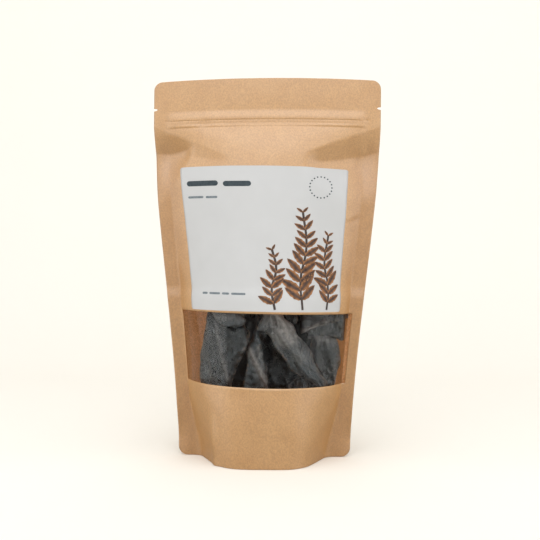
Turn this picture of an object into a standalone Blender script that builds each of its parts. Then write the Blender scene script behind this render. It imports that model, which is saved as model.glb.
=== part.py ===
"""A filled kraft stand-up pouch with a clear window, and the dried kelp blades that stand in it.

Metres, +Z up. The front faces -Y, and the pouch stands on Z = 0 with its box centred on the origin.

Every sheet is first a flat grid in pouch coordinates: u runs across the flat sheet from its middle line,
and v runs up from its bottom edge. place() bends such a point onto the filled pouch, so a dimension that
is measured on the flat sheet stays a flat dimension here.
"""

import math

import bmesh
import bpy

# Flat sheets
WIDTH = 0.130
FLAT_HEIGHT = 0.220
STANDING_HEIGHT = 0.2136
CORNER_RADIUS = 0.005
SHEET = 0.00035
GAP = 0.0003
SIDE_SEAL = 0.007
FOOT_SEAL_EXTRA = 0.006
FOOT_SEAL_FADE = 0.012

# Filled shape: how far the side edges draw in, and where that ends below the zip
DRAW_IN = 0.01629
DRAW_IN_START = -0.0133
DRAW_IN_END = 0.194
DRAW_IN_POWER = 0.84
BELLY_SHAPE = 1.109
BELLY_SHAPE_END = 0.120
MOUTH_BOW = 0.0087
MOUTH_BOW_START = 0.110
LEAN = 0.00103
RIM_LIFT = 0.00002

# Layers, as distances out from the surface where the two panels would meet
CLOSED_LAYER = SHEET / 2 + GAP / 2
FOOT_GAP = 0.0005
FOOT_LAYER = CLOSED_LAYER + SHEET + FOOT_GAP
FOOT_LAYER_TOP = 0.092
FOOT_LAYER_END = 0.100

# Tear notches
NOTCH_HEIGHT_AT = 0.2038
NOTCH_DEPTH = 0.0026
NOTCH_HALF = 0.0009

# Window and its film
WINDOW_LEFT = -0.0548
WINDOW_RIGHT = 0.0594
WINDOW_BOTTOM = 0.0442
WINDOW_TOP = 0.0846
WINDOW_TILT = -0.019
FILM = 0.0003
FILM_MARGIN = 0.0024

# Label
LABEL_WIDTH = 0.0945
LABEL_BOTTOM = 0.0858
LABEL_TOP = 0.1684
LABEL_MIDDLE = 0.0006
LABEL_SLANT = 0.0034
LABEL_TILT = -0.015
LABEL = 0.00025
LABEL_GAP = 0.0006

# Press zip
ZIP_AT = 0.195
ZIP_HALF_HEIGHT = 0.0026
ZIP_HALF_LENGTH = 0.055
ZIP_TAPE = 0.0003
RIB_HALF = 0.0005
RIB_REACH = 0.0006
LIP = 0.0008
ZIP_LAYER = 0.00123

# Gusset: the seal curve rises from the middle to the side seals
GUSSET_DEPTH = 0.040
SEAL_CURVE_LOW = 0.006
SEAL_CURVE_POWER = 2.4
FLANGE_START = 0.0004
FLOOR_FLAT_ACROSS = 0.50
FLOOR_FLAT_ALONG = 0.35

HALF = WIDTH / 2
BODY_HALF = HALF - SIDE_SEAL
ARC_STEPS = 48

# Colours as (red, green, blue, 1), roughness
KRAFT = ((0.56, 0.35, 0.18, 1.0), 0.85)
KRAFT_INSIDE = ((0.33, 0.18, 0.09, 1.0), 0.7)
CLEAR = ((0.9, 0.9, 0.88, 1.0), 0.1)
PAPER = ((0.74, 0.74, 0.74, 1.0), 0.6)
ZIP_PLASTIC = ((0.80, 0.72, 0.60, 1.0), 0.35)
DRY_KELP = ((0.065, 0.075, 0.078, 1.0), 0.55)


def smooth(start, end, value):
    t = min(max((value - start) / (end - start), 0.0), 1.0)
    return t * t * (3 - 2 * t)


def mix(a, b, t):
    return a + (b - a) * t


# Flat outline


def outline_half(v):
    """Half the flat width at height v, with rounded corners and tear notches."""
    from_end = min(v, FLAT_HEIGHT - v)
    half = HALF
    if from_end < CORNER_RADIUS:
        half -= CORNER_RADIUS - math.sqrt(max(CORNER_RADIUS**2 - (CORNER_RADIUS - from_end) ** 2, 0.0))
    notch = max(1 - abs(v - NOTCH_HEIGHT_AT) / NOTCH_HALF, 0.0)
    return half - NOTCH_DEPTH * notch


def body_half(v):
    """Half the flat width between the side seals, which widen at the foot."""
    return BODY_HALF - FOOT_SEAL_EXTRA * math.exp(-((v / FOOT_SEAL_FADE) ** 2))


def across(column, v, inset=0.0):
    """A column, given for the full width between plain side seals, as u at height v."""
    if abs(column) <= BODY_HALF:
        return column / BODY_HALF * body_half(v)
    part = (abs(column) - BODY_HALF) / SIDE_SEAL
    return math.copysign(mix(body_half(v), outline_half(v) - inset, part), column)


# Filled pouch


def draw_in(v):
    return DRAW_IN * (1 - smooth(DRAW_IN_START, DRAW_IN_END, v)) ** DRAW_IN_POWER


def arc_sums(angle, power, reach):
    """Mean cosine and sine along the front's cross-section, from its middle to a share of its half width."""
    steps = [(k + 0.5) / ARC_STEPS * reach for k in range(ARC_STEPS)]
    turns = [angle * t**power for t in steps]
    return sum(map(math.cos, turns)) / ARC_STEPS, sum(map(math.sin, turns)) / ARC_STEPS


def section(v):
    """Edge angle and curvature power of the cross-section at v, so that its chord has the drawn-in width."""
    power = mix(1.0, BELLY_SHAPE, 1 - smooth(0.0, BELLY_SHAPE_END, v))
    half = body_half(v)
    chord = (half - draw_in(v)) / half
    low = 0.0
    high = 2.2
    for _ in range(40):
        angle = (low + high) / 2
        if arc_sums(angle, power, 1.0)[0] > chord:
            low = angle
        else:
            high = angle
    return (low + high) / 2, power


known_sections = {}


def place(u, v, side, out):
    """The point of the filled pouch for flat (u, v). side is -1 for the front and 1 for the back,
    and out is the distance outwards from the surface where the panels would meet."""
    key = round(v, 7)
    if key not in known_sections:
        known_sections[key] = section(v)
    angle, power = known_sections[key]
    half = body_half(v)
    inner = min(abs(u), half)
    share = inner / half
    run, rise = arc_sums(angle, power, share)
    depth = half * arc_sums(angle, power, 1.0)[1] - inner * rise
    turn = angle * share**power
    if abs(u) > half - 1e-7:
        turn = angle / 2 if abs(u) < half + 1e-7 else 0.0
    x = math.copysign(inner * run + max(abs(u) - half, 0.0) + out * math.sin(turn), u)
    y = side * (depth + out * math.cos(turn))
    y -= MOUTH_BOW * (1 - (u / HALF) ** 2) * smooth(MOUTH_BOW_START, FLAT_HEIGHT, v)
    x += LEAN * (v / FLAT_HEIGHT - 1)
    return x, y, v * STANDING_HEIGHT / FLAT_HEIGHT


def panel_layer(u, v):
    """How far out a panel's middle lies: wider where gusset, film or zip lie between the panels."""
    foot = 1 - smooth(FOOT_LAYER_TOP, FOOT_LAYER_END, v)
    zip_band = smooth(0.188, 0.1915, v) * (1 - smooth(0.1985, 0.2024, v))
    zip_band *= 1 - smooth(ZIP_HALF_LENGTH + 0.0005, BODY_HALF + 0.001, abs(u))
    return CLOSED_LAYER + (FOOT_LAYER - CLOSED_LAYER) * foot + (ZIP_LAYER - CLOSED_LAYER) * zip_band


def steps(start, end, count):
    return [mix(start, end, k / count) for k in range(count + 1)]


# Blender objects


def new_collection(name):
    group = bpy.data.collections.new(name)
    bpy.context.scene.collection.children.link(group)
    return group


def new_material(name, finish, clear=0.0):
    colour, roughness = finish
    material = bpy.data.materials.new(name)
    material.use_nodes = True
    shader = material.node_tree.nodes["Principled BSDF"]
    shader.inputs["Base Color"].default_value = colour
    shader.inputs["Roughness"].default_value = roughness
    shader.inputs["Metallic"].default_value = 0.0
    shader.inputs["Transmission Weight"].default_value = clear
    material.diffuse_color = colour
    return material


def add_object(name, bm, material):
    mesh = bpy.data.meshes.new(name)
    bm.to_mesh(mesh)
    bm.free()
    mesh.materials.append(material)
    mesh.shade_smooth()
    mesh.set_sharp_from_angle(angle=math.radians(40))
    piece = bpy.data.objects.new(name, mesh)
    pouch.objects.link(piece)
    return piece


def sheet(name, columns, rows, point, thickness, material, offset=0.0, hole=None):
    """A grid of columns by rows, each vertex moved to point(column, row), given a thickness."""
    bm = bmesh.new()
    wide = len(columns) - 1
    high = len(rows) - 1
    bmesh.ops.create_grid(bm, x_segments=wide, y_segments=high, size=0.5)
    cells = {}
    for vertex in bm.verts:
        cells[vertex] = (round((vertex.co.x + 0.5) * wide), round((vertex.co.y + 0.5) * high))
    if hole:
        cut = []
        for face in bm.faces:
            i = min(cells[vertex][0] for vertex in face.verts)
            j = min(cells[vertex][1] for vertex in face.verts)
            if hole(columns[i], columns[i + 1], rows[j], rows[j + 1]):
                cut.append(face)
        bmesh.ops.delete(bm, geom=cut, context="FACES")
    for vertex in bm.verts:
        i, j = cells[vertex]
        vertex.co = point(columns[i], rows[j])
    piece = add_object(name, bm, material)
    wall = piece.modifiers.new("Thickness", "SOLIDIFY")
    wall.thickness = thickness
    wall.offset = offset
    return piece


def swept_strip(name, profile, stations, point, material):
    """A closed profile of (out, v) corners, lofted through stations across the pouch."""
    bm = bmesh.new()
    rings = []
    for u in stations:
        rings.append([bm.verts.new(point(u, v, out)) for out, v in profile])
    for left, right in zip(rings, rings[1:]):
        for k in range(len(profile)):
            after = (k + 1) % len(profile)
            bm.faces.new((left[k], left[after], right[after], right[k]))
    bm.faces.new(rings[0])
    bm.faces.new(list(reversed(rings[-1])))
    bmesh.ops.recalc_face_normals(bm, faces=bm.faces[:])
    return add_object(name, bm, material)


# Panels


def tilted(u, v):
    """Rows near the window run parallel to its slightly tilted edges."""
    near = smooth(0.012, WINDOW_BOTTOM, v) * (1 - smooth(LABEL_TOP, 0.187, v))
    return v + WINDOW_TILT * u * near


def panel_rows():
    corner = [0.0, 0.001, 0.0026, CORNER_RADIUS]
    body = [0.012, 0.021, 0.030, 0.038]
    window = steps(WINDOW_BOTTOM, WINDOW_TOP, 4)
    upper = [0.092, 0.100, 0.112, 0.126, 0.140, 0.154, LABEL_TOP, 0.178, 0.187]
    zip_rows = [0.1915, ZIP_AT, 0.1985]
    notch = [NOTCH_HEIGHT_AT - NOTCH_HALF, NOTCH_HEIGHT_AT, NOTCH_HEIGHT_AT + NOTCH_HALF]
    top = [0.210] + [FLAT_HEIGHT - v for v in reversed(corner)]
    return corner + body + window + upper + zip_rows + notch + top


PANEL_ROWS = panel_rows()
INNER_COLUMNS = steps(-0.044, 0.044, 8)
BODY_COLUMNS = [-BODY_HALF, WINDOW_LEFT] + INNER_COLUMNS + [-WINDOW_LEFT, BODY_HALF]
FRONT_COLUMNS = [-HALF] + BODY_COLUMNS + [WINDOW_RIGHT, HALF]
BACK_COLUMNS = [-HALF] + BODY_COLUMNS + [HALF]


def panel_point(side):
    def point(column, row):
        v = tilted(column, row)
        u = across(column, v)
        x, y, z = place(u, v, side, panel_layer(u, v))
        return x, y, z + RIM_LIFT

    return point


def in_window(left, right, low, high):
    inside_across = left >= WINDOW_LEFT - 1e-6 and right <= WINDOW_RIGHT + 1e-6
    return inside_across and low >= WINDOW_BOTTOM - 1e-6 and high <= WINDOW_TOP + 1e-6


def make_panels():
    sheet("front_panel", FRONT_COLUMNS, PANEL_ROWS, panel_point(-1), SHEET,
          new_material("kraft_front", KRAFT), hole=in_window)
    sheet("back_panel", BACK_COLUMNS, PANEL_ROWS, panel_point(1), SHEET,
          new_material("kraft_back", KRAFT))


# Window film and label


def make_film():
    out = FOOT_LAYER - SHEET / 2 - GAP - FILM / 2
    columns = [WINDOW_LEFT - FILM_MARGIN] + BODY_COLUMNS[1:] + [WINDOW_RIGHT, WINDOW_RIGHT + FILM_MARGIN]
    rows = steps(WINDOW_BOTTOM, WINDOW_TOP, 4)
    rows = [WINDOW_BOTTOM - FILM_MARGIN] + rows + [WINDOW_TOP + FILM_MARGIN]

    def point(column, row):
        v = tilted(column, row)
        return place(across(column, v), v, -1, out)

    sheet("window_film", columns, rows, point, FILM, new_material("clear_film", CLEAR, clear=1.0))


def make_label():
    def point(s, t):
        v = mix(LABEL_BOTTOM, LABEL_TOP, t)
        u = LABEL_MIDDLE + s * LABEL_WIDTH + LABEL_SLANT * (0.5 - t)
        v += LABEL_TILT * u
        out = panel_layer(u, v) + SHEET / 2 + LABEL_GAP + LABEL / 2
        return place(u, v, -1, out)

    sheet("front_label", steps(-0.5, 0.5, 12), steps(0.0, 1.0, 7), point, LABEL,
          new_material("label_paper", PAPER))


# Press zip: a rib on the front strip stands in the groove between the back strip's lips


def make_zip():
    tape_face = ZIP_LAYER - SHEET / 2 - GAP
    tape_back = tape_face - ZIP_TAPE
    low = ZIP_AT - ZIP_HALF_HEIGHT
    high = ZIP_AT + ZIP_HALF_HEIGHT
    groove = RIB_HALF + GAP
    rib_tip = tape_back - RIB_REACH
    rib = [(tape_face, low), (tape_face, high), (tape_back, high), (tape_back, ZIP_AT + RIB_HALF),
           (rib_tip, ZIP_AT + RIB_HALF), (rib_tip, ZIP_AT - RIB_HALF), (tape_back, ZIP_AT - RIB_HALF),
           (tape_back, low)]
    lip_tip = GAP - tape_back
    track = [(tape_face, low), (tape_face, high), (tape_back, high), (tape_back, ZIP_AT + groove + LIP),
             (lip_tip, ZIP_AT + groove + LIP), (lip_tip, ZIP_AT + groove), (tape_back, ZIP_AT + groove),
             (tape_back, ZIP_AT - groove), (lip_tip, ZIP_AT - groove), (lip_tip, ZIP_AT - groove - LIP),
             (tape_back, ZIP_AT - groove - LIP), (tape_back, low)]
    stations = steps(-ZIP_HALF_LENGTH, ZIP_HALF_LENGTH, 10)

    def strip_point(side):
        def point(u, v, out):
            x, y, _ = place(u, ZIP_AT, side, out)
            return x, y, v * STANDING_HEIGHT / FLAT_HEIGHT

        return point

    swept_strip("zip_rib", rib, stations, strip_point(-1), new_material("rib_plastic", ZIP_PLASTIC))
    swept_strip("zip_track", track, stations, strip_point(1), new_material("track_plastic", ZIP_PLASTIC))


# Gusset: two flanges inside the panels, joined by a floor that sags to the table


def seal_curve(share):
    rise = min(abs(share), 1.0) ** SEAL_CURVE_POWER
    return mix(SEAL_CURVE_LOW, GUSSET_DEPTH, rise)


def floor_height(share, reach):
    """1 on the seal curve and 0 where the floor lies on the table."""
    up_across = smooth(FLOOR_FLAT_ACROSS, 1.0, abs(reach))
    up_along = smooth(FLOOR_FLAT_ALONG, 1.0, abs(share))
    return 1 - (1 - up_across) * (1 - up_along)


def make_gusset():
    flange = [0.0, 0.04, 0.1, 0.2, 0.38, 0.65, 1.0]
    floor = [-0.75, -FLOOR_FLAT_ACROSS, -0.17, 0.17, FLOOR_FLAT_ACROSS, 0.75]
    rows = [("front", t) for t in flange] + [("floor", r) for r in floor]
    rows += [("back", t) for t in reversed(flange)]
    out = GAP / 2

    def flange_point(column, t, side):
        v = mix(FLANGE_START, seal_curve(column / BODY_HALF), t)
        return place(across(column, v, inset=GAP), v, side, out)

    def point(column, row):
        kind, value = row
        if kind != "floor":
            return flange_point(column, value, -1 if kind == "front" else 1)
        x, front, high = flange_point(column, 1.0, -1)
        back = flange_point(column, 1.0, 1)[1]
        y = mix(front, back, (value + 1) / 2)
        return x, y, high * floor_height(column / BODY_HALF, value)

    sheet("bottom_gusset", BACK_COLUMNS, rows, point, SHEET, new_material("kraft_gusset", KRAFT_INSIDE),
          offset=1.0)


# Kelp: each blade hangs between three points (u, v, width, depth behind its panel)

BLADES = [
    # side, head, middle, foot, wave height, waves, phase
    (-1, (-0.018, 0.122, 0.026, 0.0068), (-0.021, 0.074, 0.029, 0.0068), (-0.029, 0.027, 0.021, 0.0068),
     0.0018, 2.0, 0.4),
    (-1, (-0.018, 0.118, 0.024, 0.0024), (-0.0185, 0.094, 0.024, 0.0024), (-0.019, 0.077, 0.020, 0.0026),
     0.0007, 1.0, 0.0),
    (-1, (0.004, 0.124, 0.015, 0.0060), (0.0135, 0.078, 0.017, 0.0060), (0.032, 0.026, 0.022, 0.0058),
     0.0016, 1.2, 1.2),
    (-1, (-0.005, 0.078, 0.007, 0.0125), (-0.004, 0.052, 0.014, 0.0120), (-0.002, 0.013, 0.020, 0.0120),
     0.0018, 1.6, 2.2),
    (-1, (0.036, 0.118, 0.022, 0.0110), (0.036, 0.090, 0.024, 0.0110), (0.037, 0.068, 0.022, 0.0110),
     0.0016, 1.8, 0.9),
    (-1, (0.034, 0.078, 0.022, 0.0170), (0.036, 0.058, 0.024, 0.0125), (0.034, 0.028, 0.020, 0.0115),
     0.0012, 1.4, 2.8),
    (-1, (0.002, 0.128, 0.060, 0.0225), (0.002, 0.074, 0.064, 0.0235), (0.001, 0.022, 0.050, 0.0235),
     0.0020, 3.0, 0.2),
    (1, (-0.002, 0.126, 0.056, 0.0130), (0.000, 0.072, 0.062, 0.0160), (0.001, 0.020, 0.048, 0.0160),
     0.0022, 3.0, 1.7),
    (1, (0.002, 0.122, 0.060, 0.0050), (-0.001, 0.070, 0.066, 0.0055), (0.000, 0.022, 0.052, 0.0060),
     0.0022, 3.4, 2.6),
]
BLADE_THICKNESS = 0.0009


def curve_through(head, middle, foot, t):
    """A smooth run through three values at t = 0, 0.5 and 1."""
    return head * (2 * t - 1) * (t - 1) + middle * 4 * t * (1 - t) + foot * t * (2 * t - 1)


def make_blade(number, blade):
    side, head, middle, foot, height, waves, phase = blade

    def point(s, t):
        u, v, width, depth = (curve_through(*values, t) for values in zip(head, middle, foot))
        rounded = 1 - 0.35 * abs(2 * t - 1) ** 6
        u += s * width * rounded
        v += 0.004 * math.sin(5 * s + phase) * abs(2 * t - 1)
        depth += height * math.sin(2 * math.pi * waves * s + phase + 1.5 * t)
        return place(u, v, side, -depth)

    columns = steps(-0.5, 0.5, 12 if waves > 2 else 8)
    sheet(f"kelp_blade_{number}", columns, steps(1.0, 0.0, 8), point, BLADE_THICKNESS,
          new_material(f"dry_kelp_{number}", DRY_KELP))


for old in list(bpy.data.objects):
    bpy.data.objects.remove(old, do_unlink=True)

pouch = new_collection("stand_up_pouch")
make_panels()
make_film()
make_label()
make_zip()
make_gusset()
for number, blade in enumerate(BLADES, start=1):
    make_blade(number, blade)
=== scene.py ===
# %% [markdown]
# This scene dresses a filled stand-up pouch: brown kraft paper, a white label, a clear window and the
# dried kelp blades behind it. The imported model gives the real sizes and the place of every piece, so
# the first step is to load it and to keep its box.

import math

import bmesh
import bpy
import numpy as np
from mathutils import Matrix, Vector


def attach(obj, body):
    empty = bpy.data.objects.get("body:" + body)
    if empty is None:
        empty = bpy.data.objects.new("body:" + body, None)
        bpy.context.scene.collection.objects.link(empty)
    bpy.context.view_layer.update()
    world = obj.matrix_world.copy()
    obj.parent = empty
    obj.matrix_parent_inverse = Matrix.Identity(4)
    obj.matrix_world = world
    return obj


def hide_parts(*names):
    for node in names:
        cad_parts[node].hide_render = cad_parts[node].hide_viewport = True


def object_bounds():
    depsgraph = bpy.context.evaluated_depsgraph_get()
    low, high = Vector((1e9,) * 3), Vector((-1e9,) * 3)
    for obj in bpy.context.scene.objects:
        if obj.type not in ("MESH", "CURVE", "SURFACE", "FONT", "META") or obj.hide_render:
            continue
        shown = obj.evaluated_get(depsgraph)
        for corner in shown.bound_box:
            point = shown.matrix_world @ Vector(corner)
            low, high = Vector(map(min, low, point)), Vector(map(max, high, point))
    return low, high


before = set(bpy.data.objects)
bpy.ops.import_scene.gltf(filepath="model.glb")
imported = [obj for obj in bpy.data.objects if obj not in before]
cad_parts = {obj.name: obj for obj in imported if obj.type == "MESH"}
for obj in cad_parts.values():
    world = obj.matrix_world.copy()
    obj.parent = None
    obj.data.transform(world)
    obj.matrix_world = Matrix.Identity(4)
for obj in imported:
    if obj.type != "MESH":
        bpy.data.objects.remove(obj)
cad_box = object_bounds()
print("packed pouch", [[round(c, 4) for c in corner] for corner in cad_box])

# %% [markdown]
# A pouch is a flat thing that contents push apart. So every sheet here is drawn flat, in pouch
# coordinates: u runs across from the middle line and v runs up from the bottom edge. One function
# then bends flat points onto the filled shape, and paper, label, print and film all agree.
# The cross-section is an arc whose chord is the width that is left after the sides draw in.

# %% Flat sizes and the filled shape
TALL = cad_box[1][2] - cad_box[0][2]
FLAT = 0.220
HALF = 0.065
SIDE_SEAL = 0.007
CORNER = 0.005
PAPER = 0.00022
FOOT_SEAL_EXTRA = 0.001
FOOT_SEAL_FADE = 0.012
DRAW_IN = (0.01629, -0.0133, 0.194, 0.84)
BELLY_SHAPE = 1.109
MOUTH_BOW = 0.0087
LEAN = 0.00103
NOTCH_AT = 0.2038
NOTCH_DEPTH = 0.0021
NOTCH_HALF = 0.0008
ZIP_LOW = 0.1919
ZIP_HIGH = 0.1963
SEAL_BAND = 0.2021
BODY = HALF - SIDE_SEAL


def smooth(start, end, value):
    t = np.clip((value - start) / (end - start), 0.0, 1.0)
    return t * t * (3 - 2 * t)


def mix(a, b, t):
    return a + (b - a) * t


def hump(centre, width, value):
    return np.exp(-(((value - centre) / width) ** 2))


def round_in(from_end, radius):
    """How far a round corner pulls an edge in, at a distance from its end."""
    short = np.clip(radius - from_end, 0.0, radius)
    return radius - np.sqrt(radius**2 - short**2)


def outline_half(v):
    half = HALF - round_in(np.minimum(v, FLAT - v), CORNER)
    notch = np.clip(1 - ((v - NOTCH_AT) / NOTCH_HALF) ** 2, 0.0, 1.0)
    return half - NOTCH_DEPTH * np.sqrt(notch)


def body_half(v):
    return BODY - FOOT_SEAL_EXTRA * np.exp(-((v / FOOT_SEAL_FADE) ** 2))


def across(column, v, inset=0.0):
    """A column between -HALF and HALF as u at height v, with the seal's own width at that height."""
    inner = column / BODY * body_half(v)
    part = (np.abs(column) - BODY) / SIDE_SEAL
    outer = np.sign(column) * mix(body_half(v), outline_half(v) - inset, part)
    return np.where(np.abs(column) <= BODY, inner, outer)


ARC = (np.arange(40) + 0.5) / 40
SEAM_TURN = 0.95
SEAM_FOOT = 0.19
SEAM_TOP = 0.03
SEAM_HIGH = 0.046
FLAT_MIDDLE = 0.12
FULL_TURN = 0.56


def heading(angle, power, turned_back, share):
    """The front's direction at a share of its half width: it turns away from the viewer and then, over
    the last part before the side seal, it turns back again. Near the foot the middle stays flat."""
    foot = np.clip((turned_back - SEAM_TOP) / (SEAM_FOOT - SEAM_TOP), 0.0, 1.0)
    away = mix(share**power, smooth(FLAT_MIDDLE, FULL_TURN, share), foot)
    return angle * away * (1 - SEAM_TURN * smooth(1 - turned_back, 1.0, share))


def arc_sums(angle, power, turned_back, reach):
    """Mean cosine and sine of the front's direction, from the middle to a share of its half width."""
    turns = heading(angle[..., None], power[..., None], turned_back[..., None], reach[..., None] * ARC)
    return np.cos(turns).mean(-1), np.sin(turns).mean(-1)


def solve_sections(v):
    amount, start, end, power = DRAW_IN
    chord = (body_half(v) - amount * (1 - smooth(start, end, v)) ** power) / body_half(v)
    shape = mix(1.0, BELLY_SHAPE, 1 - smooth(0.0, 0.120, v))
    back = mix(SEAM_TOP, SEAM_FOOT, 1 - smooth(0.0, SEAM_HIGH, v))
    low = np.zeros_like(v)
    high = np.full_like(v, 2.6)
    for _ in range(36):
        angle = (low + high) / 2
        wide = arc_sums(angle, shape, back, np.ones_like(v))[0] > chord
        low = np.where(wide, angle, low)
        high = np.where(wide, high, angle)
    return angle, shape, back


KNOWN_V = np.linspace(0.0, FLAT, 881)
KNOWN_ANGLE, KNOWN_POWER, KNOWN_BACK = solve_sections(KNOWN_V)


# Each dent has the apex and the outer end of its ridge, the height of its dark face at the outer end,
# that face's swell and slope, and the share of the ridge over which the dent deepens.
DENTS = [
    ((-0.0390, 0.1826), (-0.0650, 0.1938), 0.0155, 0.75, 0.50, 0.30),
    ((-0.0150, 0.1725), (-0.0480, 0.1860), 0.0090, 0.60, 0.20, 0.60),
    ((0.0205, 0.1757), (0.0650, 0.1932), 0.0145, 0.42, 0.50, 0.22),
]
DENT_RETURN = 3.2


def dents(u, v):
    """How far both sheets are pushed back where the full body meets the flat top. Below each ridge the
    paper falls back steeply, and then it comes forward again over a longer way."""
    pushed = np.zeros(np.broadcast(u, v).shape)
    for (apex_u, apex_v), (end_u, end_v), height, swell, slope, onset in DENTS:
        reach = np.clip((u - apex_u) / (end_u - apex_u), 0.0, 1.2)
        tall = height * reach**swell + 1e-5
        below = (mix(apex_v, end_v, reach) - v) / tall
        fall = np.clip(below, 0.0, 1.0)
        rise = smooth(1.0, DENT_RETURN, below)
        pushed = pushed + slope * tall * smooth(0.0, onset, reach) * fall * (1 - rise)
    return pushed * (1 - 0.5 * smooth(0.051, 0.063, np.abs(u)))


FIN_WAVE = 0.0020
FIN_WAVE_AT = 0.013
FIN_WAVE_TALL = 0.010
MOUTH_FROM = 0.110


def bend(u, v, side, out):
    """Points of the filled pouch for flat u and v. side is -1 for the front and 1 for the back, and
    out is the distance outwards from the surface on which the two panels would meet. The panels run
    into the side seals softly, over a wider band near the foot, where the fins also bend back a little."""
    u, v, out = np.broadcast_arrays(np.asarray(u, float), np.asarray(v, float), np.asarray(out, float))
    angle = np.interp(v, KNOWN_V, KNOWN_ANGLE)
    power = np.interp(v, KNOWN_V, KNOWN_POWER)
    back = np.interp(v, KNOWN_V, KNOWN_BACK)
    half = body_half(v)
    inner = np.minimum(np.abs(u), half)
    run, rise = arc_sums(angle, power, back, inner / half)
    depth = half * arc_sums(angle, power, back, np.ones_like(v))[1] - inner * rise
    turn = heading(angle, power, back, inner / half)
    turn = turn * (1 - smooth(-0.0008, 0.0008, np.abs(u) - half))
    x = np.sign(u) * (inner * run + np.maximum(np.abs(u) - half, 0.0) + out * np.sin(turn))
    y = side * (depth + out * np.cos(turn))
    y = y - MOUTH_BOW * (1 - (u / HALF) ** 2) * smooth(MOUTH_FROM, FLAT, v) + dents(u, v)
    y = y + FIN_WAVE * smooth(half - 0.002, HALF, np.abs(u)) * hump(FIN_WAVE_AT, FIN_WAVE_TALL, v)
    x = x + LEAN * (v / FLAT - 1)
    return np.stack([x, y, v * TALL / FLAT], axis=-1)


print("belly depth in mm", (bend(0.0, np.array([0.0, 0.045, 0.085, 0.168]), -1, 0.0)[:, 1] * 1000).round(1))

# %% [markdown]
# Paper never lies quite smooth. The relief below is how far the paper stands out from the smooth
# shape: the pressed lines of the zip, the swell below it, the corner low on the left, a small fold at
# the right of the label, and a faint waviness made of seeded sine waves in random directions.

# %% Relief of the paper
WAVE_COUNT = 9


def wavy(u, v, length, seed):
    """Smooth unevenness of about one unit, with features of roughly the given length."""
    draw = np.random.default_rng(seed)
    total = np.zeros(np.broadcast(u, v).shape)
    for _ in range(WAVE_COUNT):
        course, phase = draw.uniform(0, 2 * np.pi, 2)
        pitch = length * draw.uniform(0.7, 1.5)
        total = total + np.sin(2 * np.pi * (u * np.cos(course) + v * np.sin(course)) / pitch + phase)
    return total / math.sqrt(WAVE_COUNT)


def fold(u, v, start, end, height, above, below, dip=0.8):
    """A ridge along a line, with a soft slope above it and a hollow of dip times its height below."""
    line = np.array(end) - np.array(start)
    length = np.hypot(*line)
    along = ((u - start[0]) * line[0] + (v - start[1]) * line[1]) / length**2
    off = ((v - start[1]) * line[0] - (u - start[0]) * line[1]) / length
    ends = smooth(-0.25, 0.12, along) * (1 - smooth(0.75, 1.35, along))
    crest = np.exp(-((np.maximum(off, 0) / above) ** 2))
    drop = np.clip(-off / below, 0.0, 1.0)
    hollow = (1 + dip) / 2 * np.cos(np.pi * drop) + (1 - dip) / 2
    back = -dip * (1 - smooth(1.0, 2.6, -off / below))
    shape = np.where(off >= 0, crest, np.where(-off < below, hollow, back))
    return height * ends * shape


ZIP_PROFILE_V = (0.1919, 0.1929, 0.1938, 0.1957, 0.1961, 0.1965, 0.2019)
ZIP_PROFILE_OUT = (0.0, 0.00042, 0.00046, 0.00034, 0.00018, 0.00038, 0.0)
CRIMP_U = 0.0566
CRIMP_V = 0.1965
CORNER_FOLD = ((-0.0260, -0.0020), (-0.0275, 0.0220), 0.0011, 0.0045, 0.0045)
LABEL_FOLD = ((0.0480, 0.1385), (0.0550, 0.1420), 0.00026, 0.0024, 0.0026)
SWELL = 0.0009
SWELL_AT = (0.004, 0.179)
SWELL_SIZE = (0.034, 0.009)
FINE_WAVES = 0.00003


def zip_lines(u, v):
    inside = 1 - smooth(0.0545, 0.0575, np.abs(u))
    steady = 1 - 0.6 * hump(-0.0362, 0.0030, u)
    profile = np.interp(v, ZIP_PROFILE_V, ZIP_PROFILE_OUT)
    crimp = -0.0004 * hump(CRIMP_U, 0.0009, np.abs(u)) * hump(CRIMP_V, 0.0007, v)
    return inside * steady * profile + crimp


def paper_waves(u, v, height, length, seed):
    """Broad waves on the filled body only, and fine ones all over."""
    body = (1 - smooth(0.052, 0.058, np.abs(u))) * (1 - smooth(0.184, 0.192, v))
    return body * height * wavy(u, v, length, seed) + FINE_WAVES * wavy(u, v, 0.009, seed + 1)


def front_relief(u, v):
    out = zip_lines(u, v) + fold(u, v, *CORNER_FOLD, dip=0.2) + fold(u, v, *LABEL_FOLD)
    out = out + SWELL * hump(SWELL_AT[0], SWELL_SIZE[0], u) * hump(SWELL_AT[1], SWELL_SIZE[1], v)
    return out + paper_waves(u, v, 0.00016, 0.030, seed=3)


def back_relief(u, v):
    return zip_lines(u, v) + paper_waves(u, v, 0.00030, 0.040, seed=5)


# %% [markdown]
# A material is a small graph of nodes. These helpers keep each graph short: one adds any node with its
# sockets filled, one starts a Principled surface, one adds a noise that reads the piece's own
# coordinates, and one turns a number into a colour. Object coordinates are in metres, so a noise scale
# is about the number of grains a metre.

# %% Material helpers
NOISE_ROUGHNESS = 0.55


def node(tree, kind, links=None, **settings):
    """A new node. Each socket in links, by name or number, gets a link or a plain value."""
    made = tree.nodes.new(kind)
    for key, value in settings.items():
        setattr(made, key, value)
    for socket, value in (links or {}).items():
        plug = made.inputs[socket]
        if isinstance(value, bpy.types.NodeSocket):
            tree.links.new(value, plug)
        else:
            plug.default_value = value
    return made


def new_finish(name, roughness, **sockets):
    material = bpy.data.materials.new(name)
    material.use_nodes = True
    shader = material.node_tree.nodes["Principled BSDF"]
    shader.inputs["Roughness"].default_value = roughness
    for socket, value in sockets.items():
        shader.inputs[socket.replace("_", " ")].default_value = value
    return material, material.node_tree, shader


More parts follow.
